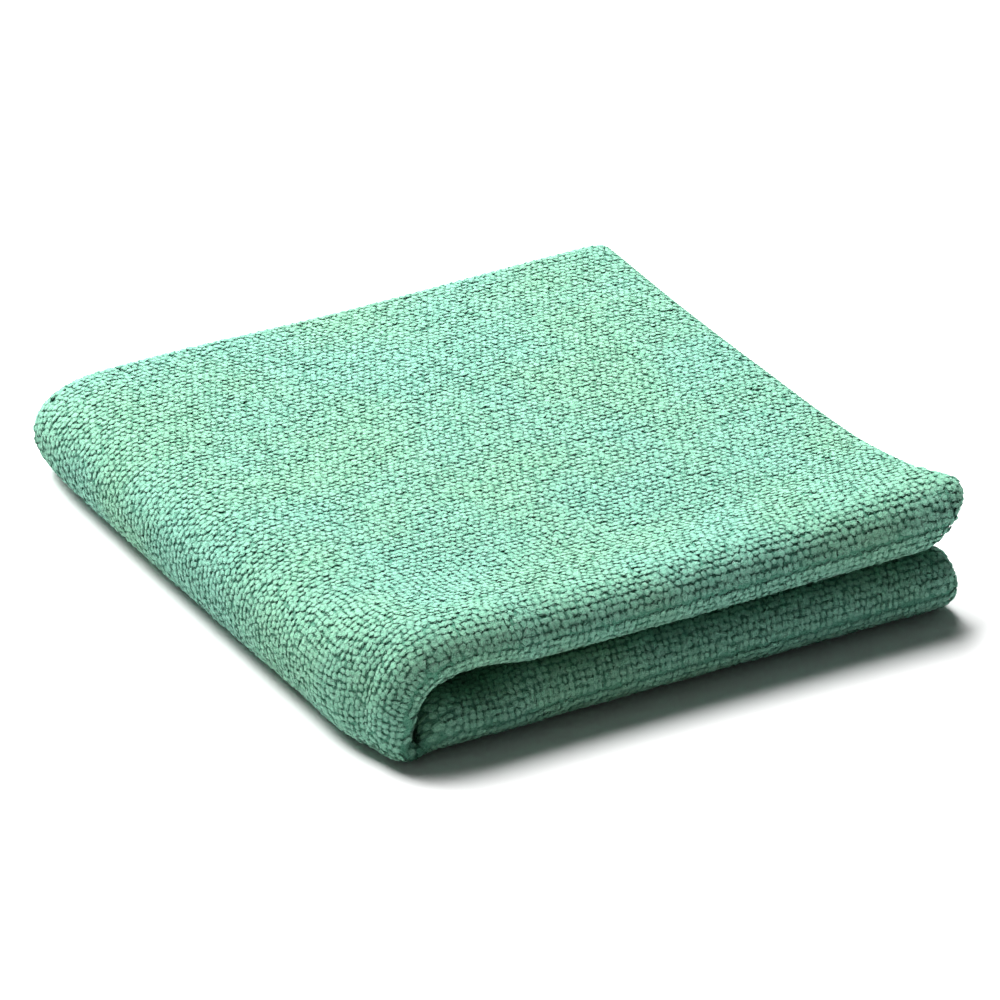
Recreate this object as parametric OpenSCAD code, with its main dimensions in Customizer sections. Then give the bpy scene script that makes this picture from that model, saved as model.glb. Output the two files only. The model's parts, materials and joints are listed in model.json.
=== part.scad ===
// Plush terry cleaning cloth, folded in half twice into a flat stack of four layers.
// The first fold lies along the front and makes two rolls, one over the other. The second
// fold lies along the left side and joins the lower half of the stack to the upper half,
// which opens about it like the cover of a book.
// Origin: middle of the face the stack rests on. +X right along the front rolls,
// +Y back to the free edges, +Z up.

/* [Folded stack] */
// Width of the folded stack, from the left fold to the right edge
stack_w = 188; // [160:1:215]
// Depth of the folded stack, from the front rolls to the back edge
stack_d = 203; // [170:1:230]
// Height of the stack at the front rolls
front_h = 38; // [26:0.5:44]
// Height of the stack at the back edge
back_h = 26; // [18:0.5:36]
// How far the upper half reaches past the lower half on the right
upper_overhang = 3; // [0:0.5:8]

/* [Layers] */
// Clear space between the lower and the upper half
half_gap = 0.6; // [0.3:0.1:1.2]
// Slit between the two layers of one half
layer_slit = 0.8; // [0.4:0.1:1.6]
// Slit between the two layers of one half along the stitched edges
seam_slit = 2.4; // [0.8:0.2:3]

/* [Overlocked edges] */
// Width of the band of thread over a cut edge
seam_w = 5; // [3:0.5:8]

/* [Hidden] */
$fn = 96;

cloth_colour = [0.61, 0.85, 0.74];
thread_colour = [0.50, 0.76, 0.65];

left_x = -stack_w / 2;
right_x = stack_w / 2;
front_y = -stack_d / 2;
back_y = stack_d / 2;

// Round parts are this much too round for their place, and are cut flat where they rest
// and where the halves meet.
flat_cut = 0.15;

// Each half has a roll at the front, as high as its share of the stack. The slit between
// its layers ends a little behind the middle of the roll.
roll_centre_z = front_h / 4 - half_gap / 4;
roll_r = roll_centre_z + flat_cut;
roll_y = front_y + roll_r;
slit_front_y = roll_y + 3;
over = 4;

// Height of the plane between the two halves, at a place along Y. The stack thins towards
// the back, so this plane and the top slope down and the bottom is level.
function mid_z(y) = (front_h - (front_h - back_h) * (y - roll_y) / (back_y - roll_y)) / 2;

// The left fold is half of a cone that lies on its side: its radius is about half the
// height of the stack, so it shrinks from the front to the back.
fold_x_front = left_x + mid_z(front_y) + flat_cut;
fold_x_back = left_x + mid_z(back_y) + flat_cut;
fold_drop = fold_x_front - fold_x_back;
axis_len = sqrt(stack_d * stack_d + 2 * fold_drop * fold_drop);
axis_tilt = asin(fold_drop / axis_len);
axis_yaw = atan(fold_drop / stack_d);

function right_edge(side) = side < 0 ? right_x - upper_overhang : right_x;

// Carries an outline drawn in Y and Z along X, from x0 to x1.
module along_x(x0, x1) {
    translate([x0, 0, 0])
        rotate([90, 0, 90])
            linear_extrude(height = x1 - x0)
                children();
}

// Cone of the left fold, with a share of the stack's half height as its radius, made
// thicker by grow.
module fold_cone(share, grow) {
    front_r = share * mid_z(front_y - over) / cos(axis_tilt) + grow;
    back_r = share * mid_z(back_y + over) / cos(axis_tilt) + grow;
    stretch = axis_len / stack_d;
    translate([fold_x_front, front_y, mid_z(front_y)])
        rotate([-90 - axis_tilt, 0, axis_yaw])
            translate([0, 0, -over * stretch])
                cylinder(h = axis_len + 2 * over * stretch, r1 = front_r, r2 = back_r);
}

// Everything to the right of the middle line of the left fold.
module right_of_fold() {
    step = over * fold_drop / stack_d;
    translate([0, 0, -over])
        linear_extrude(height = front_h + 2 * over)
            polygon([[fold_x_front + step, front_y - over], [right_x + over, front_y - over],
                     [right_x + over, back_y + over], [fold_x_back - step, back_y + over]]);
}

// Outline, in Y and Z, of one half from y0 to y1, with no roll.
// side is -1 for the lower half and 1 for the upper half.
module slab_outline(side, y0, y1) {
    clear = half_gap / 2;
    if (side < 0)
        polygon([[y0, 0], [y1, 0], [y1, mid_z(y1) - clear], [y0, mid_z(y0) - clear]]);
    else
        polygon([[y0, mid_z(y0) + clear], [y1, mid_z(y1) + clear],
                 [y1, 2 * mid_z(y1)], [y0, 2 * mid_z(y0)]]);
}

// Outline, in Y and Z, of one half: a roll at the front and a slab behind it.
module half_outline(side) {
    union() {
        intersection() {
            translate([roll_y, side < 0 ? roll_centre_z : front_h - roll_centre_z])
                circle(r = roll_r);
            slab_outline(side, front_y - over, roll_y + 2 * roll_r);
        }
        slab_outline(side, roll_y, back_y);
    }
}

// One whole half, with no slit, from the left fold to its right edge.
module whole_half(side) {
    intersection() {
        union() {
            fold_cone(1, flat_cut);
            right_of_fold();
        }
        along_x(left_x - over, right_edge(side)) half_outline(side);
    }
}

// The inner layers of both halves, made thicker by grow on both sides.
module inner_layers(grow) {
    union() {
        fold_cone(0.5, grow);
        intersection() {
            along_x(left_x, right_x + over)
                polygon([for (p = [[front_y - over, -1], [back_y + over, -1],
                                   [back_y + over, 1], [front_y - over, 1]])
                    [p[0], mid_z(p[0]) + p[1] * (0.5 * mid_z(p[0]) + grow)]]);
            right_of_fold();
        }
    }
}

// Space between the outer layers and the inner layers of both halves.
module layer_space(width) {
    difference() {
        intersection() {
            inner_layers(width / 2);
            translate([left_x - over, slit_front_y, -over])
                cube([stack_w + 2 * over, stack_d + over, front_h + 2 * over]);
        }
        inner_layers(-width / 2);
    }
}

// Terry body of one half: its two layers, up to the overlocked edges.
module cloth_half(side) {
    difference() {
        intersection() {
            whole_half(side);
            translate([left_x - over, front_y - over, -over])
                cube([right_edge(side) - seam_w - left_x + over,
                      stack_d - seam_w + over, front_h + 2 * over]);
        }
        layer_space(layer_slit);
    }
}

// Overlocked right edge of one half: one band round the two layers and their roll.
module right_seam(side) {
    difference() {
        intersection() {
            whole_half(side);
            translate([right_edge(side) - seam_w, front_y - over, -over])
                cube([seam_w, stack_d + 2 * over, front_h + 2 * over]);
        }
        layer_space(seam_slit);
    }
}

// Strip of one half along the back edge, short of the right seam.
module back_strip(side) {
    intersection() {
        whole_half(side);
        translate([left_x - over, back_y - seam_w, -over])
            cube([right_edge(side) - seam_w - left_x + over, seam_w + over,
                  front_h + 2 * over]);
    }
}

// Overlocked back edge of the layer on the outside of one half.
module back_outer_seam(side) {
    difference() {
        back_strip(side);
        inner_layers(seam_slit / 2);
    }
}

// Overlocked back edge of the layer on the inside of one half.
module back_inner_seam(side) {
    intersection() {
        back_strip(side);
        inner_layers(-seam_slit / 2);
    }
}

module cloth_lower_half() { color(cloth_colour) cloth_half(-1); }
module cloth_upper_half() { color(cloth_colour) cloth_half(1); }
module right_seam_lower() { color(thread_colour) right_seam(-1); }
module right_seam_upper() { color(thread_colour) right_seam(1); }
module back_outer_seam_lower() { color(thread_colour) back_outer_seam(-1); }
module back_outer_seam_upper() { color(thread_colour) back_outer_seam(1); }
module back_inner_seam_lower() { color(thread_colour) back_inner_seam(-1); }
module back_inner_seam_upper() { color(thread_colour) back_inner_seam(1); }

cloth_lower_half();
cloth_upper_half();
right_seam_lower();
right_seam_upper();
back_outer_seam_lower();
back_outer_seam_upper();
back_inner_seam_lower();
back_inner_seam_upper();
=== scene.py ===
"""A square terry cleaning cloth, folded to the front and then to the left, in the frame of its CAD model."""

import json
import logging
import math
from dataclasses import dataclass, field
from enum import Enum

import bpy
import numpy as np
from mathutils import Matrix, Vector


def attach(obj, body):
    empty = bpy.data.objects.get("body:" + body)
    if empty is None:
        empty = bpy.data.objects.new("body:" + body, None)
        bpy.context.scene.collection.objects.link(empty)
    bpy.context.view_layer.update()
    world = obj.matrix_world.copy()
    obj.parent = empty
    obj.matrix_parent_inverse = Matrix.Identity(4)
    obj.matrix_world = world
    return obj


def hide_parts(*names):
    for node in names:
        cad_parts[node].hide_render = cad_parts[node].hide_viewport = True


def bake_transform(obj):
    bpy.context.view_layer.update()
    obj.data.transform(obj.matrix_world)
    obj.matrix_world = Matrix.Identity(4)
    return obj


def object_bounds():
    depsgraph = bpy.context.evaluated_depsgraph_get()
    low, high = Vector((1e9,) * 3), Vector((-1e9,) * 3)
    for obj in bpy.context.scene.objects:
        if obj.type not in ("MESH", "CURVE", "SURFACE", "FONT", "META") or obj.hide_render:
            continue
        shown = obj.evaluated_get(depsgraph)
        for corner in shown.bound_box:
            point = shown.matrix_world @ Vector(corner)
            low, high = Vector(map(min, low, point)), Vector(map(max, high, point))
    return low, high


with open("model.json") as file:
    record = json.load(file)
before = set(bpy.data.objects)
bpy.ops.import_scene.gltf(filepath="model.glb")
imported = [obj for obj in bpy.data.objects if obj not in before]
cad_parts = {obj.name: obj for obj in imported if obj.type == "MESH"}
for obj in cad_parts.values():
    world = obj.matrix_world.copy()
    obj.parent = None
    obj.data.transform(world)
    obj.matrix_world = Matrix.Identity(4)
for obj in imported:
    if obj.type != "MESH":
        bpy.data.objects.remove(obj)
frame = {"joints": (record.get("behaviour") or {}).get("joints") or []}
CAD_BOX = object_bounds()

LOG = logging.getLogger("cloth")
MM = 0.001


class Side(Enum):
    """The half of the folded cloth that a layer belongs to."""

    LOWER = -1
    UPPER = 1

    @property
    def body(self) -> str:
        """The CAD body that this half moves with."""
        return "lower_half" if self is Side.LOWER else "upper_half"


def smooth(t: np.ndarray) -> np.ndarray:
    """Smoothstep, 3 t squared minus 2 t cubed, of t held between 0 and 1."""
    t = np.clip(t, 0.0, 1.0)
    return t * t * (3.0 - 2.0 * t)


def mix(a: np.ndarray, b: np.ndarray, t: np.ndarray) -> np.ndarray:
    """The straight mix of a and b, which is a at t 0 and b at t 1."""
    return a + (b - a) * t


def resample(lines: np.ndarray, count: int, weight: np.ndarray | None = None) -> np.ndarray:
    """Points at equal steps of length along many lines at once.

    Every line's running length is scaled to run from 0 to 1 and 2 is added for each line before it, so that one
    interpolation over all of them, end to end, finds the new points.

    Args:
        lines: Points of the lines, an array of rows by points by coordinates.
        count: The number of points that each line gets.
        weight: The length that each step counts for, rows by points less one, in place of its own length.

    Returns:
        The new points, rows by count by coordinates.
    """
    step = np.linalg.norm(np.diff(lines, axis=1), axis=2) if weight is None else weight
    run = np.concatenate([np.zeros((len(lines), 1)), np.cumsum(step, axis=1)], axis=1)
    offset = 2.0 * np.arange(len(lines))[:, None]
    key = (run / run[:, -1:] + offset).ravel()
    want = (np.linspace(0.0, 1.0, count)[None] + offset).ravel()
    found = [np.interp(want, key, lines[..., k].ravel()) for k in range(lines.shape[2])]
    return np.stack(found, axis=-1).reshape(len(lines), count, lines.shape[2])


@dataclass
class ClothTable:
    """The folded cloth's middle surface on a grid of flat places.

    Attributes:
        points: Places in mm, flat u by flat v by three.
        normals: Unit normals on the outer face, the same size.
        u: Flat distance from the left crease, negative on the lower half, in mm.
        v: Flat distance from the front crease, negative on the outer layer, in mm.
    """

    points: np.ndarray
    normals: np.ndarray
    u: np.ndarray
    v: np.ndarray

    def lifted(self, height: float) -> "ClothTable":
        """The surface at a height over the middle one, or under it, with normals turned, if negative."""
        facing = math.copysign(1.0, height)
        return ClothTable(self.points + self.normals * height, self.normals * facing, self.u, self.v)

    def steps(self, axis: int, keep: np.ndarray, pitch: float) -> tuple[np.ndarray, np.ndarray]:
        """Flat places along one axis whose real distance apart is the pitch, as a mean over the other axis.

        The real length of a grid step is the mean, over the kept lines of the other axis, of the distance between
        its ends. The places are read off the running sum of those lengths.

        Args:
            axis: 0 for places across, 1 for places along.
            keep: For each of the grid's v, whether it is used.
            pitch: The real distance, in mm.

        Returns:
            The flat places, rising, and the flat distance that each one stands for.
        """
        points, flat = self.points[:, keep], (self.u, self.v[keep])[axis]
        step = np.linalg.norm(np.diff(points, axis=axis), axis=2).mean(axis=1 - axis)
        run = np.concatenate([[0.0], np.cumsum(step)])
        places = np.interp(np.arange(pitch / 2, run[-1], pitch), run, flat)
        return places, np.gradient(places)

    def at(self, u: np.ndarray, v: np.ndarray) -> tuple[np.ndarray, np.ndarray, np.ndarray, np.ndarray]:
        """The place, normal and two tangents at flat places, straight between the grid's points.

        A place off the grid's edge goes on straight from the last two points.

        Args:
            u: Flat places across, in mm.
            v: Flat places along, in mm.

        Returns:
            Places, unit normals, and tangents along u and v as long as the stretch of the flat cloth there, each
            with three numbers a place.
        """
        i = np.clip(np.searchsorted(self.u, u) - 1, 0, len(self.u) - 2)
        j = np.clip(np.searchsorted(self.v, v) - 1, 0, len(self.v) - 2)
        a = ((u - self.u[i]) / (self.u[i + 1] - self.u[i]))[:, None]
        b = ((v - self.v[j]) / (self.v[j + 1] - self.v[j]))[:, None]
        p = self.points
        place = mix(mix(p[i, j], p[i + 1, j], a), mix(p[i, j + 1], p[i + 1, j + 1], a), b)
        a, b = np.clip(a, 0, 1), np.clip(b, 0, 1)
        n = self.normals
        normal = unit(mix(mix(n[i, j], n[i + 1, j], a), mix(n[i, j + 1], n[i + 1, j + 1], a), b))
        along_u = mix(p[i + 1, j] - p[i, j], p[i + 1, j + 1] - p[i, j + 1], b)
        along_v = mix(p[i, j + 1] - p[i, j], p[i + 1, j + 1] - p[i + 1, j], a)
        along_u /= (self.u[i + 1] - self.u[i])[:, None]
        along_v /= (self.v[j + 1] - self.v[j])[:, None]
        return place, normal, along_u, along_v


def unit(v: np.ndarray) -> np.ndarray:
    """Each vector divided by its length."""
    return v / np.maximum(np.linalg.norm(v, axis=-1, keepdims=True), 1e-9)


@dataclass
class FoldedCloth:
    """The shape of the folded cloth: its sizes, all in mm, and the surface that they give.

    A section across the cloth, at one distance from the front, has two paths from the left crease to the right
    edges: the outer layer's, round the outside, and the inner layer's, round the small loop inside the fold. The
    front roll is half an ellipse between the two.
    """

    left: float
    right: float
    front: float
    back: float
    mid_height: float
    mid_slope: float
    half_thick: float = 2.4
    half_flat: float = 200.0
    strip_flat: float = 32.0
    bend_flat: float = 12.0
    roll_depth: float = 9.2
    roll_depth_left: float = 7.5
    left_bulge: float = 1.2
    front_corner: float = 4.5
    back_corner: float = 3.0
    top_round_front: float = 22.0
    top_round_back: float = 20.0
    low_round_front: float = 8.0
    low_round_back: float = 11.0
    round_power: float = 2.2
    widest_front: float = 12.0
    notch_x: float = 18.0
    notch_turn: float = 22.0
    loop_front: float = 2.7
    loop_wide: float = 5.6
    layer_half_gap: float = 2.6
    dip_left: float = 1.2
    dip_right: float = 2.8
    dip_y: float = -66.0
    dip_y_end: float = -44.0
    dip_front_width: float = 12.0
    dip_back_width: float = 45.0
    end_rise: float = 2.0
    end_upper: float = 89.5
    end_upper_back: float = 93.5
    end_upper_roll: float = 97.0
    end_upper_under: float = 85.0
    end_lower: float = 89.5
    end_lower_roll: float = 92.5
    back_gap: float = 1.5
    curl_length: float = 7.0
    curl_flat: float = 1.3
    curl_roll: float = 3.6
    blend_half: float = 3.1
    inward_run: float = 34.0
    rise_width: float = 13.0
    front_corner_run: float = 24.0
    back_corner_run: float = 22.0
    right_run: float = 30.0
    strip_stretch: float = 1.12
    first_angle: float = -50.0

    @classmethod
    def from_frame(cls) -> "FoldedCloth":
        """The cloth at the CAD model's size, with its middle plane through the fold's joint."""
        low, high = (np.array(corner) / MM for corner in CAD_BOX)
        joint = frame["joints"][0]
        pos, axis = np.array(joint["pos_m"]) / MM, joint["axis"]
        slope = axis[2] / axis[1]
        return cls(low[0], high[0], low[1], high[1], pos[2] - pos[1] * slope, slope)

    def mid(self, y: np.ndarray) -> np.ndarray:
        """Height of the plane between the halves, a straight line in y."""
        return self.mid_height + self.mid_slope * y

    @property
    def roll_start(self) -> float:
        """The y at which the layers run into the front roll."""
        return self.front + self.half_thick + self.roll_depth

    def inward(self, y: np.ndarray) -> np.ndarray:
        """A share that goes smoothly from 0 at the front roll to 1 further in."""
        return smooth((y - self.roll_start) / self.inward_run)

    def swell(self, x: np.ndarray, y: np.ndarray) -> np.ndarray:
        """Slow waves of the top in mm, a sum of three sines in x and y."""
        return (
            0.45 * np.sin(x / 31.0 + y / 47.0 + 0.6)
            + 0.35 * np.sin(x / 19.0 - y / 26.0 + 2.1)
            + 0.25 * np.sin(x / 44.0 + y / 15.0 + 4.0)
        )

    def top(self, x: np.ndarray, y: np.ndarray) -> np.ndarray:
        """Height of the pile's top: twice the middle plane, less a bell-shaped dip behind the front roll."""
        across = (x - self.left) / (self.right - self.left)
        depth = mix(self.dip_left, self.dip_right, smooth(across * 1.15) ** 1.5)
        end = smooth((across - 0.68) / 0.32)
        centre = mix(self.dip_y, self.dip_y_end, end)
        width = np.where(y > centre, self.dip_back_width, self.dip_front_width * (1 + 0.6 * end))
        dip = depth * (1 - 0.25 * end) * np.exp(-(((y - centre) / width) ** 2))
        rise = self.end_rise * end * np.exp(-(((y - self.roll_start) / self.rise_width) ** 2))
        return 2 * self.mid(y) - dip + rise + self.swell(x, y)

    def left_line(self, y: np.ndarray) -> np.ndarray:
        """The outer layer's leftmost x: bowed out in the middle, and drawn in round both corners by squares."""
        near_front = np.clip(1 - (y - self.roll_start) / self.front_corner_run, 0, 1) ** 2
        near_back = np.clip(1 - (self.back - y) / self.back_corner_run, 0, 1) ** 2
        bow = self.left_bulge * (1 - (y / 100.0) ** 2)
        corners = self.front_corner * near_front + self.back_corner * near_back
        return self.left + self.half_thick - bow + corners

    def right_line(self, y: np.ndarray, side: Side, outer: bool) -> np.ndarray:
        """The free right edge's x, which stands out at the top of the upper roll and is drawn in under it."""
        near = np.clip(1 - (y - self.roll_start) / self.right_run, 0, 1) ** 2
        if side is Side.LOWER:
            return mix(self.end_lower, self.end_lower_roll, near)
        behind = smooth((y - 10.0) / (self.back - 10.0))
        plain = mix(self.end_upper, self.end_upper_back, behind)
        return mix(plain, self.end_upper_roll if outer else self.end_upper_under, near)

    def outer_path(self, y: np.ndarray, side: Side) -> np.ndarray:
        """The outer layer's path in x and z at each y.

        The left side is two quarters of a rounded curve, whose x and z are powers of a cosine and a sine, one from
        the widest point to the floor and one up to the top. The path starts at the crease, below the widest point at
        the front and at it further in, and ends in a straight run to the right edge.

        Args:
            y: The sections' places, one column.
            side: The half whose path it is.

        Returns:
            Points, sections by points by two.
        """
        share, power, thick = self.inward(y), 2.0 / self.round_power, self.half_thick
        start_x = self.left_line(y)
        wide = mix(self.widest_front, self.mid(y), share)
        first = np.radians(mix(self.first_angle, 0.0, share))
        low_round = mix(self.low_round_front, self.low_round_back, share)
        top_round = mix(self.top_round_front, self.top_round_back, share)
        end = self.right_line(y, side, True)
        step = np.linspace(0, 1, 80)[None]
        run = np.linspace(0, 1, 160)[None, 1:]
        low_angle = first * (1 - step) if side is Side.UPPER else mix(first, np.radians(-90.0), step)
        x_low = start_x + low_round * (1 - np.cos(low_angle) ** power)
        z_low = wide - (wide - thick) * np.abs(np.sin(low_angle)) ** power
        if side is Side.LOWER:
            x_run = mix(start_x + low_round, end, run)
            return np.stack([np.hstack([x_low, x_run]), np.hstack([z_low, np.full_like(x_run, thick)])], -1)
        angle = np.radians(90.0) * step[:, 1:]
        x_up = start_x + top_round * (1 - np.cos(angle) ** power)
        x_run = mix(start_x + top_round, end, run)
        x_top = np.hstack([x_up, x_run])
        rise = np.hstack([np.sin(angle) ** power, np.ones_like(run)])
        z_top = wide + (self.top(x_top, y) - thick - wide) * rise
        return np.stack([np.hstack([x_low, x_top]), np.hstack([z_low, z_top])], -1)

    def inner_path(self, y: np.ndarray, side: Side) -> tuple[np.ndarray, np.ndarray]:
        """The inner layer's path in x and z at each y, in its two parts.

        A centre line starts at the fold, upright at the front and level further in, and turns level by smoothstep.
        The path stands off it by the loop's half width: a round cap, a widening, and a taper to half the gap
        between the two inner layers.

        Args:
            y: The sections' places, one column.
            side: The half whose path it is.

        Returns:
            The part inside the fold's strip and the part from there to the right edge, each sections by points
            by two.
        """
        share, thick = self.inward(y), self.half_thick
        cap = mix(self.loop_front, self.loop_wide, share)
        turn = mix(self.notch_turn, 6.0, share)
        wide_at = turn + mix(5.0, 2.0, share)
        tilt = np.radians(mix(90.0, 0.0, share))
        count = 90
        part = np.linspace(0, 1, count)[None]
        s = wide_at * part
        angle = tilt * (1 - smooth(s / turn))
        middle = (angle[:, 1:] + angle[:, :-1]) / 2
        zero, step = np.zeros_like(y), wide_at / (count - 1)
        dx = np.hstack([zero, np.cumsum(np.cos(middle) * step, axis=1)])
        dz = np.hstack([zero, np.cumsum(np.sin(middle) * step, axis=1)])
        first_x = mix(self.left + self.notch_x, self.left_line(y) + 2 * thick + 0.3 + cap, share)
        x_mid = first_x + dx
        z_mid = self.mid(y) - dz[:, -1:] + dz
        half = mix(cap, self.loop_wide, smooth(part)) * side.value
        turned = np.radians(90.0) * np.linspace(0, 1, 30)[None, :-1]
        cos, sin = np.cos(tilt), np.sin(tilt)
        x_cap = first_x - cap * (cos * np.cos(turned) + side.value * sin * np.sin(turned))
        z_cap = z_mid[:, :1] - cap * (sin * np.cos(turned) - side.value * cos * np.sin(turned))
        x_loop, z_loop = x_mid - half * np.sin(angle), z_mid + half * np.cos(angle)
        strip = np.stack([np.hstack([x_cap, x_loop]), np.hstack([z_cap, z_loop])], -1)
        run = np.linspace(0, 1, 160)[None]
        x_run = mix(x_loop[:, -1:], self.right_line(y, side, False), run)
        narrow = smooth((x_run - x_run[:, :1]) / 20.0)
        z_run = self.mid(y) + side.value * mix(self.loop_wide, self.layer_half_gap, narrow)
        return strip, np.stack([x_run, z_run], -1)

    def opened_steps(self, y: np.ndarray, path: np.ndarray) -> np.ndarray:
        """The larger of each step's length at rest and with the cloth opened flat.

        Opened, a point turns about the fold's line by half a turn times the smoothstep of its height in the blend.
        """
        off = path[..., 1] - self.mid(y)
        turn = np.pi * smooth((off + self.blend_half) / (2 * self.blend_half))
        x = path[..., 0] - self.left + 0.2
        moved = np.stack([x * np.cos(turn) - off * np.sin(turn), x * np.sin(turn) + off * np.cos(turn)], -1)
        lengths = [np.linalg.norm(np.diff(p, axis=1), axis=2) for p in (path, moved)]
        return np.maximum(*lengths)

    def table(self, strip_count: int = 20, run_count: int = 84, rows: int = 94,
              roll_rows: int = 14) -> ClothTable:
        """The middle surface on a grid of flat places.

        Args:
            strip_count: Steps from the left crease to the strip's edge.
            run_count: Steps from there to the right edge.
            rows: Steps from the front roll to the back edge.
            roll_rows: Steps of half the front roll.

        Returns:
            The grid.
        """
        flat_v = np.linspace(self.bend_flat, self.half_flat, rows + 1)
        depth = (flat_v - self.bend_flat) / (self.half_flat - self.bend_flat)
        y = mix(self.roll_start, self.back - self.back_gap, depth)[:, None]
        halves = []
        for side in Side:
            outer = self.outer_path(y, side)
            run = np.cumsum(np.linalg.norm(np.diff(outer, axis=1), axis=2), axis=1)
            cut = self.strip_flat * self.strip_stretch
            key = np.hstack([np.zeros((len(y), 1)), run])
            near = self.cut(outer, key, np.linspace(0, cut, strip_count + 1)[None] * np.ones_like(y))
            far_at = mix(cut, key[:, -1:], np.linspace(0, 1, run_count + 1)[None])
            far = self.cut(outer, key, far_at)
            strip, rest = self.inner_path(y, side)
            strip = resample(strip, strip_count + 1, self.opened_steps(y, strip))
            rest = resample(rest, run_count + 1)
            o = np.concatenate([near, far[:, 1:]], axis=1)
            k = np.concatenate([strip, rest[:, 1:]], axis=1)
            halves.append(self.join(y, o, k, roll_rows))
        lower, upper = halves
        points = np.concatenate([lower[::-1], upper[1:]], axis=0)
        u_half = np.concatenate([np.linspace(0, self.strip_flat, strip_count + 1),
                                 np.linspace(self.strip_flat, self.half_flat, run_count + 1)[1:]])
        u = np.concatenate([-u_half[::-1], u_half[1:]])
        roll = np.linspace(-self.bend_flat, self.bend_flat, 2 * roll_rows + 1)
        v = np.concatenate([-flat_v[::-1], roll[1:-1], flat_v])
        points = self.curl(points, self.normals(points), u, v)
        return ClothTable(points, self.normals(points), u, v)

    @staticmethod
    def normals(points: np.ndarray) -> np.ndarray:
        """Unit normals on the outer face, from the differences along the grid's two directions."""
        return unit(np.cross(np.gradient(points, axis=1), np.gradient(points, axis=0)))

    def curl(self, points: np.ndarray, normals: np.ndarray, u: np.ndarray, v: np.ndarray) -> np.ndarray:
        """Curls the right edges inwards by the square of the share of the last few mm, most at the roll."""
        share = np.clip((np.abs(u) - self.half_flat + self.curl_length) / self.curl_length, 0, 1)
        share = share[:, None, None] ** 2
        roll = smooth(1.6 - np.abs(v) / 22.0)[None, :, None]
        points = points - normals * share * mix(self.curl_flat, self.curl_roll, roll)
        points[..., :1] -= share * roll * 1.2
        return points

    @staticmethod
    def cut(lines: np.ndarray, key: np.ndarray, want: np.ndarray) -> np.ndarray:
        """Points at given running lengths of many lines, by one interpolation of the lines laid end to end."""
        offset = 1e4 * np.arange(len(lines))[:, None]
        at, known = (want + offset).ravel(), (key + offset).ravel()
        found = [np.interp(at, known, lines[..., k].ravel()) for k in (0, 1)]
        return np.stack(found, -1).reshape(*want.shape, 2)

    def join(self, y: np.ndarray, outer: np.ndarray, inner: np.ndarray, roll_rows: int) -> np.ndarray:
        """One half's points, from the outer back edge round the front roll to the inner back edge.

        The roll is half an ellipse at each place across: its centre is halfway between the two layers, one half
        axis reaches the layers and the other is the roll's depth, to the front.

        Args:
            y: The sections' places, one column.
            outer: The outer layer's points in x and z.
            inner: The inner layer's points in x and z.
            roll_rows: Steps of half the roll.

        Returns:
            Points, across by along by three.
        """
        middle, reach = (outer[0] + inner[0]) / 2, (outer[0] - inner[0]) / 2
        half = np.linalg.norm(reach, axis=1)
        depth = mix(self.roll_depth_left, self.roll_depth, smooth((half - 3.0) / 4.0))
        phi = np.linspace(0, np.pi, 97)
        arc = np.stack([middle[:, None, 0] + reach[:, None, 0] * np.cos(phi),
                        self.roll_start - depth[:, None] * np.sin(phi),
                        middle[:, None, 1] + reach[:, None, 1] * np.cos(phi)], -1)
        arc = resample(arc, 2 * roll_rows + 1)[:, 1:-1]
        layers = [np.stack([p[..., 0], y * np.ones_like(p[..., 0]), p[..., 1]], -1).transpose(1, 0, 2)
                  for p in (outer, inner)]
        return np.concatenate([layers[0][:, ::-1], arc, layers[1]], axis=1)


class Socket:
    """A node output or a number whose arithmetic makes Math nodes."""

    def __init__(self, tree: "ShaderTree", link: object) -> None:
        """Keeps the tree that new nodes go in and the output or number that this stands for."""
        self.tree, self.link = tree, link

    def math(self, operation: str, other: object, swap: bool = False) -> "Socket":
        """A Math node on this and another value, in the other order where swap is true."""
        pair = (other, self) if swap else (self, other)
        return self.tree.node("ShaderNodeMath", {"operation": operation}, {0: pair[0], 1: pair[1]})

    def __add__(self, other: object) -> "Socket":
        """This plus another value."""
        return self.math("ADD", other)

    def __radd__(self, other: object) -> "Socket":
        """Another value plus this."""
        return self.math("ADD", other, True)

    def __sub__(self, other: object) -> "Socket":
        """This less another value."""
        return self.math("SUBTRACT", other)

    def __rsub__(self, other: object) -> "Socket":
        """Another value less this."""
        return self.math("SUBTRACT", other, True)

    def __mul__(self, other: object) -> "Socket":
        """This times another value."""
        return self.math("MULTIPLY", other)

    def __rmul__(self, other: object) -> "Socket":
        """Another value times this."""
        return self.math("MULTIPLY", other, True)


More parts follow.
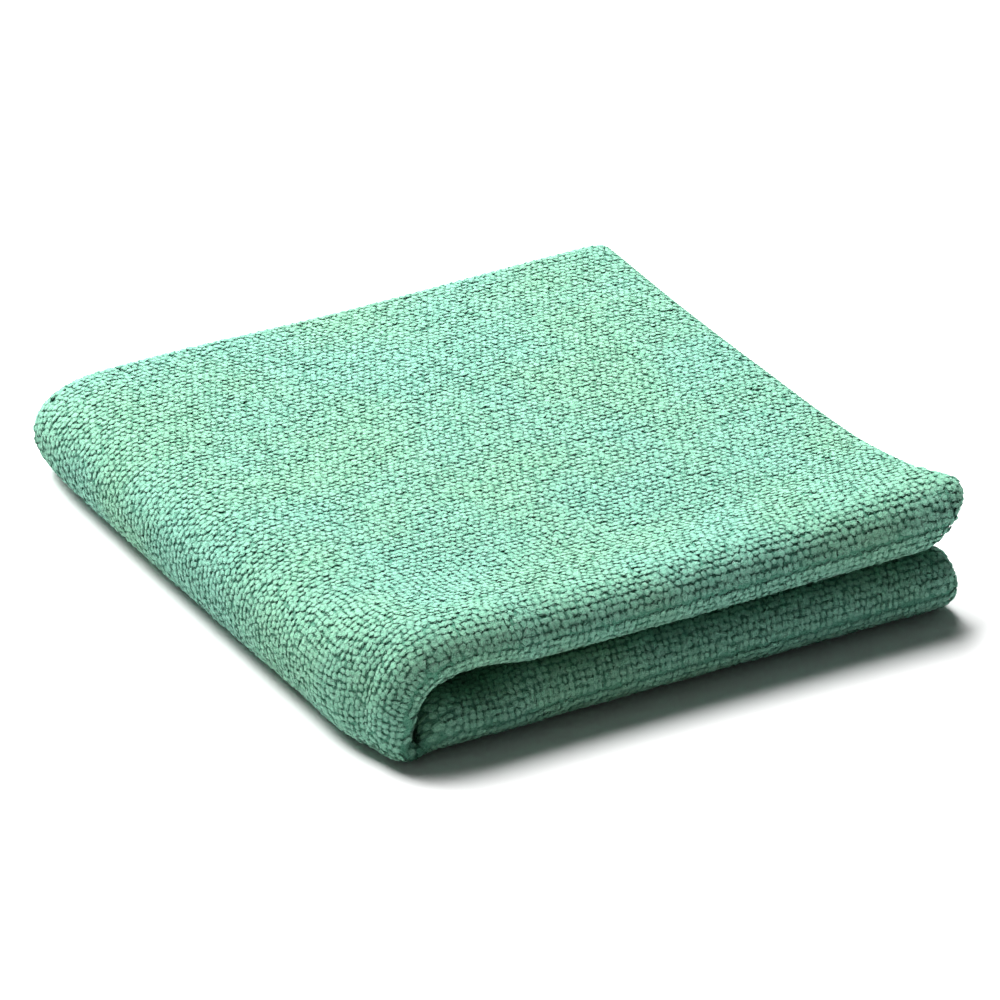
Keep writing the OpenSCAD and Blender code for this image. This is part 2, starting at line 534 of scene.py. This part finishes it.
class ShaderTree:
    """A new material's node tree, with one method that adds any node."""

    def __init__(self, name: str) -> None:
        """Starts a material of that name with an empty tree."""
        self.material = bpy.data.materials.new(name)
        self.material.use_nodes = True
        self.tree = self.material.node_tree
        self.tree.nodes.clear()

    def node(self, kind: str, settings: dict | None = None, inputs: dict | None = None,
             out: object = 0) -> Socket:
        """Adds a node.

        Args:
            kind: The node's type name.
            settings: Attributes of the node, set first; "ramp" gives a colour ramp's stops.
            inputs: Values or sockets by the input's name or number.
            out: The name or number of the output that is returned.

        Returns:
            The node's output.
        """
        made = self.tree.nodes.new(kind)
        for key, value in (settings or {}).items():
            if key == "ramp":
                stops = made.color_ramp.elements
                while len(stops) < len(value):
                    stops.new(0.5)
                for stop, (place, colour) in zip(stops, value):
                    stop.position, stop.color = place, colour
            else:
                setattr(made, key, value)
        for key, value in (inputs or {}).items():
            if isinstance(value, Socket):
                self.tree.links.new(value.link, made.inputs[key])
            else:
                made.inputs[key].default_value = value
        return Socket(self, made.outputs[out] if made.outputs else made)

    def blend(self, factor: object, first: object, second: object, mode: str = "MIX") -> Socket:
        """A Mix node on two colours by a factor, in the named blend mode."""
        return self.node("ShaderNodeMix", {"data_type": "RGBA", "blend_type": mode},
                         {0: factor, 6: first, 7: second}, 2)

    def finish(self, surface: Socket) -> bpy.types.Material:
        """Links the surface to the output and returns the material."""
        self.node("ShaderNodeOutputMaterial", None, {"Surface": surface})
        return self.material


Colour = tuple[float, float, float, float]


@dataclass(frozen=True)
class TerryFinish:
    """Seafoam microfibre pile, matt, with short fibres: pale mint at the tufts' tips and deep green at their feet
    and between them, where the deep green is painted shade.

    Slow patches lean a little to yellow green and blue green, and each tuft has its own tint.
    """

    name: str = "seafoam_terry"
    # The deep colour is painted shade, at the tufts' feet and on the ground between them; tip is the pile's own pale
    # mint.
    deep: Colour = (0.012, 0.138, 0.086, 1)
    tip: Colour = (0.252, 0.540, 0.398, 1)
    warm: Colour = (1.03, 1.0, 0.93, 1)
    cool: Colour = (0.98, 0.995, 1.02, 1)
    roughness: float = 0.92
    specular: float = 0.08
    glow: float = 0.35
    glow_radius: float = 0.0012
    fibre_scale: float = 1500.0
    fibre_height: float = 0.0007
    patch_scale: float = 26.0
    base_share: float = 0.20
    painted_shade_share: float = 0.45
    fibre_share: float = 1.1
    tint_share: float = 0.05

    def material(self) -> bpy.types.Material:
        """The finish as a material that reads Object coordinates and the tufts' attributes."""
        tree = ShaderTree(self.name)
        place = tree.node("ShaderNodeTexCoord", out="Object")
        # The tufts' height attribute, 0 at a tuft's foot and on the ground sheet and 1 at its tip, sets painted
        # shade.
        depth = tree.node("ShaderNodeAttribute", {"attribute_name": "tuft_depth"}, out="Fac")
        tint = tree.node("ShaderNodeAttribute", {"attribute_name": "tuft_tint"}, out="Fac")
        fibre = tree.node("ShaderNodeTexNoise", None,
                          {"Vector": place, "Scale": self.fibre_scale, "Detail": 4.0, "Roughness": 0.75})
        patch = tree.node("ShaderNodeTexNoise", None, {"Vector": place, "Scale": self.patch_scale, "Detail": 2.0})
        # Painted shade: the colour darkens towards each tuft's foot and on the ground between the tufts; the fibre
        # noise and each tuft's tint add random mottling.
        shade = (depth * self.painted_shade_share + fibre * self.fibre_share - self.base_share
                 + tint * self.tint_share)
        colour = tree.blend(shade, self.deep, self.tip)
        lean = tree.node("ShaderNodeValToRGB", {"ramp": ((0.38, self.warm), (0.62, self.cool))},
                         {"Fac": patch})
        colour = tree.blend(1.0, colour, lean, "MULTIPLY")
        bump = tree.node("ShaderNodeBump", None,
                         {"Height": fibre, "Strength": 1.0, "Distance": self.fibre_height})
        shader = tree.node("ShaderNodeBsdfPrincipled", None,
                           {"Base Color": colour, "Roughness": self.roughness, "Normal": bump,
                            "Specular IOR Level": self.specular,
                            "Subsurface Weight": self.glow, "Subsurface Scale": self.glow_radius,
                            "Subsurface Radius": (1.0, 1.0, 1.0)})
        return tree.finish(shader)


@dataclass(frozen=True)
class ThreadFinish:
    """Plied polyester sewing thread a little darker than the cloth, with fine slanting plies, and painted shade that
    darkens the colour in the grooves between them.
    """

    name: str = "overlock_thread"
    # dark is painted shade for the grooves between the plies; light is the colour on the plies.
    dark: Colour = (0.10, 0.33, 0.22, 1)
    light: Colour = (0.34, 0.68, 0.51, 1)
    roughness: float = 0.6
    ply_scale: float = 900.0
    ply_height: float = 0.0001
    sheen: float = 0.15
    specular: float = 0.35

    def material(self) -> bpy.types.Material:
        """The finish as a material that reads Object coordinates."""
        tree = ShaderTree(self.name)
        place = tree.node("ShaderNodeTexCoord", out="Object")
        ply = tree.node("ShaderNodeTexWave", {"bands_direction": "DIAGONAL"},
                        {"Vector": place, "Scale": self.ply_scale, "Distortion": 1.5}, "Fac")
        # Painted shade: the colour is dark where the ply wave is low, in the grooves that the bump makes.
        colour = tree.blend(ply, self.dark, self.light)
        bump = tree.node("ShaderNodeBump", None, {"Height": ply, "Strength": 0.4, "Distance": self.ply_height})
        shader = tree.node("ShaderNodeBsdfPrincipled", None,
                           {"Base Color": colour, "Roughness": self.roughness, "Normal": bump,
                            "Sheen Weight": self.sheen, "Specular IOR Level": self.specular})
        return tree.finish(shader)


@dataclass(frozen=True)
class FloorFinish:
    """A plain pale matt floor."""

    name: str = "pale_floor"
    colour: Colour = (0.80, 0.80, 0.80, 1)

    def material(self) -> bpy.types.Material:
        """The finish as a material with a faint cloudiness in its roughness."""
        tree = ShaderTree(self.name)
        place = tree.node("ShaderNodeTexCoord", out="Object")
        cloud = tree.node("ShaderNodeTexNoise", None, {"Vector": place, "Scale": 4.0})
        shader = tree.node("ShaderNodeBsdfPrincipled", None,
                           {"Base Color": self.colour, "Roughness": cloud * 0.1 + 0.85,
                            "Specular IOR Level": 0.1})
        return tree.finish(shader)


@dataclass
class MeshParts:
    """Vertices in mm, faces as rows of vertex numbers, values on the vertices by attribute name, and the
    vertices' own shading normals, if they have any."""

    points: np.ndarray
    faces: list[np.ndarray]
    values: dict[str, np.ndarray] = field(default_factory=dict)
    normals: np.ndarray | None = None

    def build(self, name: str, finish: bpy.types.Material) -> bpy.types.Object:
        """Makes the mesh and its object, smooth shaded, in metres.

        Args:
            name: The piece's name.
            finish: Its material.

        Returns:
            The object, at the origin.
        """
        mesh = bpy.data.meshes.new(name)
        sizes = np.concatenate([np.full(len(f), f.shape[1]) for f in self.faces])
        loops = np.concatenate([f.ravel() for f in self.faces]).astype(np.int32)
        mesh.vertices.add(len(self.points))
        mesh.vertices.foreach_set("co", (self.points * MM).astype(np.float32).ravel())
        mesh.loops.add(len(loops))
        mesh.loops.foreach_set("vertex_index", loops)
        mesh.polygons.add(len(sizes))
        starts = np.concatenate([[0], np.cumsum(sizes)[:-1]]).astype(np.int32)
        mesh.polygons.foreach_set("loop_start", starts)
        mesh.polygons.foreach_set("use_smooth", np.ones(len(sizes), bool))
        for key, value in self.values.items():
            mesh.attributes.new(key, "FLOAT", "POINT").data.foreach_set("value", value.astype(np.float32))
        mesh.update(calc_edges=True)
        mesh.validate()
        if self.normals is not None:
            mesh.normals_split_custom_set_from_vertices(self.normals.astype(np.float32))
        mesh.materials.append(finish)
        made = bpy.data.objects.new(name, mesh)
        bpy.context.scene.collection.objects.link(made)
        return made


class Zone(Enum):
    """The part of the cloth that a piece belongs to, across the flat cloth."""

    LOWER = "lower"
    FOLD = "fold"
    UPPER = "upper"


@dataclass
class Placer:
    """Puts pieces on their bodies: the halves ride, and the strip round the left fold stays where it is made, on no
    body.
    """

    cloth: FoldedCloth

    def place(self, piece: bpy.types.Object, zone: Zone, slot: str) -> bpy.types.Object:
        """Rides the piece on its half's body, or, in the fold's strip, bakes its place into the mesh, and reports
        it.

        Args:
            piece: The finished piece.
            zone: The part of the cloth that it belongs to.
            slot: The record's material slot; not used.

        Returns:
            The piece.
        """
        if zone is Zone.FOLD:
            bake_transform(piece)
        else:
            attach(piece, (Side.LOWER if zone is Zone.LOWER else Side.UPPER).body)
        LOG.info("%s: %d faces", piece.name, len(piece.data.polygons))
        return piece

    def columns(self, u: np.ndarray, zone: Zone) -> np.ndarray:
        """Which of the flat places across are in the zone."""
        edge = self.cloth.strip_flat
        inside = {Zone.LOWER: u <= -edge, Zone.FOLD: np.abs(u) <= edge, Zone.UPPER: u >= edge}
        return inside[zone]


@dataclass
class ClothSheets:
    """The woven ground of the cloth, a thin closed sheet in three parts that meet edge to edge."""

    table: ClothTable
    placer: Placer
    finish: bpy.types.Material
    half_ground: float = 1.5
    half_hem: float = 0.9
    hem: float = 5.0

    def parts(self, zone: Zone) -> MeshParts:
        """The sheet of one zone: the middle surface moved out to both faces by half the ground's thickness.

        The thickness goes down by smoothstep over the hem, and a wall joins the faces all round.

        Args:
            zone: The part of the cloth.

        Returns:
            The closed mesh.
        """
        keep = self.placer.columns(self.table.u, zone)
        u, v = self.table.u[keep], self.table.v
        flat = self.placer.cloth.half_flat
        edge = np.minimum(flat - np.abs(u)[:, None], flat - np.abs(v)[None])
        half = mix(self.half_hem, self.half_ground, smooth((edge - self.hem + 2.0) / 3.0))[..., None]
        middle, normal = self.table.points[keep], self.table.normals[keep]
        points = np.concatenate([(middle + normal * side * half).reshape(-1, 3) for side in (1, -1)])
        count = len(u) * len(v)
        grid = np.arange(count).reshape(len(u), len(v))
        face = np.stack([grid[:-1, :-1], grid[:-1, 1:], grid[1:, 1:], grid[1:, :-1]], -1).reshape(-1, 4)
        rim = np.concatenate([grid[:-1, 0], grid[-1, :-1], grid[:0:-1, -1], grid[0, :0:-1]])
        following = np.roll(rim, -1)
        wall = np.stack([rim, following, following + count, rim + count], -1)
        # The ground sheet's tuft height is 0 everywhere, so it takes the deep colour: painted shade in the gaps
        # between the tufts.
        values = {"tuft_depth": np.zeros(2 * count), "tuft_tint": np.zeros(2 * count)}
        return MeshParts(points, [face, face[:, ::-1] + count, wall], values)

    def build(self) -> dict[Zone, bpy.types.Object]:
        """Makes the three parts and puts them on their bodies."""
        made = {}
        for zone in Zone:
            piece = self.parts(zone).build(f"cloth_{zone.value}", self.finish)
            made[zone] = self.placer.place(piece, zone, "terry_cloth")
        return made


@dataclass
class TerryPile:
    """The looped tufts that stand on the ground in rows, each a small closed five-sided bead."""

    table: ClothTable
    placer: Placer
    finish: bpy.types.Material
    pitch_across: float = 1.90
    pitch_along: float = 1.90
    even_height: float = 0.6
    root: float = 1.50
    height: float = 0.52
    hem: float = 2.4
    inside_margin: float = 14.0
    chunks: int = 2
    sides: int = 5
    least_half: float = 0.12
    most_half: float = 1.6
    softness: float = 0.82
    shift_across: float = 0.17
    shift_along: float = 0.14
    size_spread: float = 0.14
    size_limits: tuple[float, float] = (0.65, 1.3)
    turn_spread: float = 0.5
    point_spread: float = 0.15
    lean_spread: float = 0.22
    seed: int = 7

    def bead(self) -> tuple[np.ndarray, list[np.ndarray]]:
        """One bead round the z axis: a sunk foot, a belly and a shoulder of five points each, and a tip.

        Returns:
            Its points, with radii in shares of half the pitch and heights from 0 at the root to 1 at the tip, and
            its faces.
        """
        sides = self.sides
        turn = np.arange(sides) * 2 * np.pi / sides
        rings = [np.stack([r * np.cos(turn + t), r * np.sin(turn + t), np.full(sides, h)], -1)
                 for r, h, t in ((1.2, 0.0, 0.0), (1.16, 0.55, 0.6), (0.9, 0.88, 1.2))]
        points = np.concatenate([*rings, [[0.0, 0.0, 1.0]]])
        ring, after = np.arange(sides), (np.arange(sides) + 1) % sides
        faces = [np.stack([ring + k, after + k, after + k + sides], -1) for k in (0, sides)]
        faces += [np.stack([ring + k, after + k + sides, ring + k + sides], -1) for k in (0, sides)]
        faces.append(np.stack([ring + 2 * sides, after + 2 * sides, np.full(sides, 3 * sides)], -1))
        faces.append(ring[None, ::-1])
        return points, faces

    def places(self, zone: Zone, outer: bool, inside: bool, chunk: int) -> tuple[np.ndarray, ...]:
        """Flat places of the tufts, in rows across with every other row moved by half the pitch.

        The rows and columns are even where the loops are bound, a little over the cloth's middle, so they spread
        on the outside of a roll.

        Args:
            zone: The part of the cloth.
            outer: Whether the rows are on the outer layer or the inner one.
            inside: Whether the tufts are on the face folded inwards, where only those near free edges
                are made.
            chunk: Which run of rows, in rising order of v.

        Returns:
            Flat u and v, and the flat distances across and along that each tuft fills.
        """
        limit = self.placer.cloth.half_flat - self.hem
        bound = self.table.lifted(self.even_height)
        layer = self.table.v <= 0 if outer else self.table.v >= 0
        rows, row_steps = bound.steps(1, layer, self.pitch_along)
        columns, column_steps = bound.steps(0, layer, self.pitch_across)
        part = np.array_split(np.arange(len(rows)), 1 if inside else self.chunks)[chunk]
        v, u = np.meshgrid(rows[part], columns)
        along, across = np.meshgrid(row_steps[part], column_steps)
        u = u + (part % 2 - 0.5)[None] * across / 2
        keep = self.placer.columns(u, zone) & (np.abs(u) < limit) & (np.abs(v) < limit)
        if inside:
            keep &= limit - np.maximum(np.abs(u), np.abs(v)) < self.inside_margin
        return u[keep], v[keep], across[keep], along[keep]

    def parts(self, zone: Zone, outer: bool, inside: bool, chunk: int) -> MeshParts:
        """The tufts of one zone and layer.

        Each bead is turned, leaned, scaled and moved by its own seeded random numbers, its belly follows the two
        tangents and the normal of the cloth, and each of its points is pushed in or out a little. Light passes
        through a tuft's fibres, so its shading normals are mixed between the bead's own and the cloth's.

        Args:
            zone: The part of the cloth.
            outer: Whether they are on the outer layer.
            inside: Whether they are on the face folded inwards.
            chunk: Which run of rows, in rising order of v.

        Returns:
            The beads as one mesh.
        """
        rng = np.random.default_rng([self.seed, list(Zone).index(zone), int(outer), int(inside), chunk])
        u, v, wide, deep = self.places(zone, outer, inside, chunk)
        count = len(u)
        u = u + rng.normal(0, self.shift_across, count)
        v = v + rng.normal(0, self.shift_along, count)
        place, normal, across, along = self.table.lifted(-self.root if inside else self.root).at(u, v)
        real = [np.linalg.norm(across, axis=1) * wide, np.linalg.norm(along, axis=1) * deep]
        half = (np.stack(real, -1) / 2).clip(self.least_half, self.most_half)
        half = np.concatenate([half, np.full((count, 1), self.height)], -1)[:, None]
        across = unit(across)
        along = unit(np.cross(normal, across))
        bead, faces = self.bead()
        size = rng.normal(1.0, self.size_spread, (count, 1, 3)).clip(*self.size_limits)
        angle = rng.normal(0, self.turn_spread, (count, 1))
        x = bead[None, :, 0] * np.cos(angle) - bead[None, :, 1] * np.sin(angle)
        y = bead[None, :, 0] * np.sin(angle) + bead[None, :, 1] * np.cos(angle)
        shape = np.stack([x, y, np.broadcast_to(bead[None, :, 2], x.shape)], -1)
        local = shape * half * size
        local *= rng.normal(1.0, self.point_spread, local.shape)
        local[..., :2] += rng.normal(0, self.lean_spread, (count, 1, 2)) * bead[None, :, 2:3]
        axes = np.stack([across, along, normal], 1)
        points = place[:, None] + local @ axes
        shading = unit(mix(unit((shape - [0.0, 0.0, 0.15]) @ axes), normal[:, None], self.softness))
        first = (np.arange(count) * len(bead))[:, None, None]
        every = [(f[None] + first).reshape(-1, f.shape[1]) for f in faces]
        # The bead's height, 0 at its foot and 1 at its tip, feeds painted shade that darkens each tuft towards its
        # foot.
        depth = np.clip(bead[:, 2], 0, 1)[None] * np.ones((count, 1))
        tint = rng.normal(0, 1, (count, 1)) * np.ones((1, len(bead)))
        values = {"tuft_depth": depth.ravel(), "tuft_tint": tint.ravel()}
        return MeshParts(points.reshape(-1, 3), every, values, shading.reshape(-1, 3))

    def build(self) -> list[bpy.types.Object]:
        """Makes the tufts of every zone, layer and face, and puts them on their bodies."""
        made = []
        for zone in Zone:
            for outer in (True, False):
                layer = "outer" if outer else "inner"
                for chunk in range(self.chunks + 1):
                    inside = chunk == self.chunks
                    name = f"pile_{layer}_{'inside' if inside else chunk + 1}_{zone.value}"
                    parts = self.parts(zone, outer, inside, 0 if inside else chunk)
                    made.append(self.placer.place(parts.build(name, self.finish), zone, "terry_cloth"))
        return made


class Edge(Enum):
    """A free edge of the cloth that is overlocked."""

    RIGHT = "right"
    BACK_OUTER = "back_outer"
    BACK_INNER = "back_inner"


@dataclass
class Overlock:
    """The overlocking along the free edges: two looper threads that zigzag over the two faces and round the edge,
    and a needle thread that goes in and out of the cloth along the stitches' roots."""

    table: ClothTable
    placer: Placer
    finish: bpy.types.Material
    stitch: float = 3.0
    bite: float = 3.0
    lift: float = 1.0
    thread: float = 0.32
    past_edge: float = 0.5
    wave: float = 0.25
    turn_in: float = 1.6
    end_gap: float = 1.0
    sides: int = 5
    per_stitch: int = 10

    def tube(self, line: np.ndarray, up: np.ndarray, radius: float) -> MeshParts:
        """A round tube along a line: each ring is a circle across the line's tangent, and both ends are closed.

        Args:
            line: Points of the line, in mm.
            up: A direction at each point that isn't along the line.
            radius: The tube's radius.

        Returns:
            The tube.
        """
        tangent = unit(np.gradient(line, axis=0))
        one = unit(np.cross(up, tangent))
        two = np.cross(tangent, one)
        turn = np.arange(self.sides) * 2 * np.pi / self.sides
        ring = one[:, None] * np.cos(turn)[None, :, None] + two[:, None] * np.sin(turn)[None, :, None]
        points = (line[:, None] + ring * radius).reshape(-1, 3)
        count, k = len(line), np.arange(self.sides)
        grid = np.arange(count * self.sides).reshape(count, self.sides)
        beside = np.roll(grid, -1, axis=1)
        wall = np.stack([grid[:-1], beside[:-1], beside[1:], grid[1:]], -1).reshape(-1, 4)
        caps = [k[::-1][None], (k + (count - 1) * self.sides)[None]]
        return MeshParts(points, [wall, *caps])

    def lines(self, edge: Edge, zone: Zone) -> list[tuple[np.ndarray, np.ndarray, float]]:
        """The threads' lines along one edge in one zone.

        A looper's distance from the edge is a cosine of the place along it, one turn a stitch, and its height above
        the cloth goes to nothing at the edge, as a quarter circle. The needle's height is a sine.

        Args:
            edge: The free edge.
            zone: The part of the cloth.

        Returns:
            For each thread its points, its directions up and its radius.
        """
        flat = self.placer.cloth.half_flat
        strip = self.placer.cloth.strip_flat
        end = flat - self.end_gap
        if edge is Edge.RIGHT:
            low, high = -end, end
        else:
            low, high = {Zone.LOWER: (-end, -strip), Zone.FOLD: (-strip, strip),
                         Zone.UPPER: (strip, end)}[zone]
        turns = round((high - low) / self.stitch)
        phase = np.linspace(0, turns * 2 * np.pi, turns * self.per_stitch + 1)
        run = mix(low, high, phase / phase[-1])
        found = []
        for face in (1, -1):
            inset = self.bite / 2 * (1 + np.cos(phase)) - self.past_edge
            near = np.clip(1 - (inset + self.past_edge) / self.turn_in, 0, 1)
            height = (self.lift + self.wave) * np.sqrt(np.clip(1 - near**2, 0, 1))
            found.append(self.lay(edge, zone, run, inset, face * height) + (self.thread,))
            height = self.lift + self.wave * np.sin(phase)
            root = np.full_like(run, self.bite - self.past_edge)
            found.append(self.lay(edge, zone, run, root, face * height) + (self.thread * 0.8,))
        return found

    def lay(self, edge: Edge, zone: Zone, run: np.ndarray, inset: np.ndarray, height: np.ndarray) -> tuple:
        """Places and up directions on the cloth, at distances along and in from an edge and over its middle."""
        side = -1.0 if zone is Zone.LOWER else 1.0
        flat = self.placer.cloth.half_flat
        if edge is Edge.RIGHT:
            u, v = side * (flat - inset), run
        else:
            u, v = run, (flat - inset) * (-1 if edge is Edge.BACK_OUTER else 1)
        place, normal, _, _ = self.table.at(u, v)
        return place + normal * height[:, None], normal

    def build(self) -> dict[str, bpy.types.Object]:
        """Makes the overlocking of each edge and zone, and puts it on its body."""
        made = {}
        for edge in Edge:
            zones = (Zone.LOWER, Zone.UPPER) if edge is Edge.RIGHT else tuple(Zone)
            for zone in zones:
                tubes = [self.tube(*line) for line in self.lines(edge, zone)]
                starts = np.cumsum([0] + [len(t.points) for t in tubes[:-1]])
                points = np.concatenate([t.points for t in tubes])
                walls = np.concatenate([t.faces[0] + s for t, s in zip(tubes, starts)])
                caps = np.concatenate([f + s for t, s in zip(tubes, starts) for f in t.faces[1:]])
                name = f"overlock_{edge.value}_{zone.value}"
                piece = MeshParts(points, [walls, caps]).build(name, self.finish)
                made[name] = self.placer.place(piece, zone, "overlock_thread")
        return made


@dataclass
class Studio:
    """The floor, the lights and the camera."""

    azimuth: float = -29.34
    elevation: float = 28.69
    distance: float = 3.308
    lens: float = 430.7
    aim: tuple[float, float, float] = (0.0, 0.0, 0.015)
    offset: tuple[float, float] = (0.00255, -0.00162)
    surround: float = 0.075
    floor_half: float = 4.0

    def floor(self) -> None:
        """A large flat floor just under the cloth."""
        half = self.floor_half
        grid = np.array([[-half, -half, 0], [half, -half, 0], [half, half, 0], [-half, half, 0]])
        made = MeshParts(grid / MM, [np.array([[0, 1, 2, 3]])]).build("floor", FloorFinish().material())

    def light(self, name: str, place: tuple, size: float, power: float) -> None:
        """A square soft light at a place, turned to the cloth, with its size in metres and power in watts."""
        data = bpy.data.lights.new(name, "AREA")
        data.shape, data.size, data.energy = "SQUARE", size, power
        made = bpy.data.objects.new(name, data)
        made.location = place
        direction = -made.location.normalized()
        made.rotation_euler = direction.to_track_quat("-Z", "Y").to_euler()
        bpy.context.scene.collection.objects.link(made)

    def lights(self) -> None:
        """A broad light from above and behind, a weak one from the left, and a dim surround."""
        self.light("key", (-0.20, 1.25, 1.85), 1.9, 222.0)
        self.light("side", (-1.8, 0.1, 0.9), 0.9, 1.0)
        world = bpy.data.worlds.new("surround")
        world.use_nodes = True
        inputs = world.node_tree.nodes["Background"].inputs
        inputs["Color"].default_value = (1.0, 1.0, 1.0, 1)
        inputs["Strength"].default_value = self.surround
        bpy.context.scene.world = world

    def camera(self) -> None:
        """A long-lens camera at the azimuth and elevation, aimed a little beside the cloth's middle."""
        turn, rise = math.radians(self.azimuth), math.radians(self.elevation)
        level = math.cos(rise)
        back = np.array([math.sin(turn) * level, -math.cos(turn) * level, math.sin(rise)])
        right = np.array([math.cos(turn), math.sin(turn), 0.0])
        up = np.cross(back, right)
        aim = np.array(self.aim) + right * self.offset[0] + up * self.offset[1]
        data = bpy.data.cameras.new("camera")
        data.lens, data.sensor_width = self.lens, 36.0
        data.clip_start, data.clip_end = 0.05, 20.0
        made = bpy.data.objects.new("camera", data)
        made.location = aim + back * self.distance
        made.rotation_euler = Vector(-back).to_track_quat("-Z", "Y").to_euler()
        bpy.context.scene.collection.objects.link(made)
        bpy.context.scene.camera = made
        LOG.info("camera looks along %s", tuple(round(float(a), 3) for a in -back))

    def build(self) -> None:
        """Makes everything round the cloth."""
        self.floor()
        self.lights()
        self.camera()
        bpy.context.scene.view_settings.view_transform = "Standard"


def declare() -> None:
    for side in Side:
        word = side.name.lower()
        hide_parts(f"cloth_{word}_half")
        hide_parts(f"right_seam_{word}")
        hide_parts(f"back_outer_seam_{word}")
        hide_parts(f"back_inner_seam_{word}")


def main() -> None:
    """Builds the studio, the cloth, its pile and its overlocking."""
    logging.basicConfig(level=logging.INFO, format="%(name)s: %(message)s")
    Studio().build()
    cloth = FoldedCloth.from_frame()
    table = cloth.table()
    placer = Placer(cloth)
    terry, thread = TerryFinish().material(), ThreadFinish().material()
    sheets = ClothSheets(table, placer, terry).build()
    TerryPile(table, placer, terry).build()
    edges = Overlock(table, placer, thread).build()
    declare()


if __name__ == "__main__":
    main()
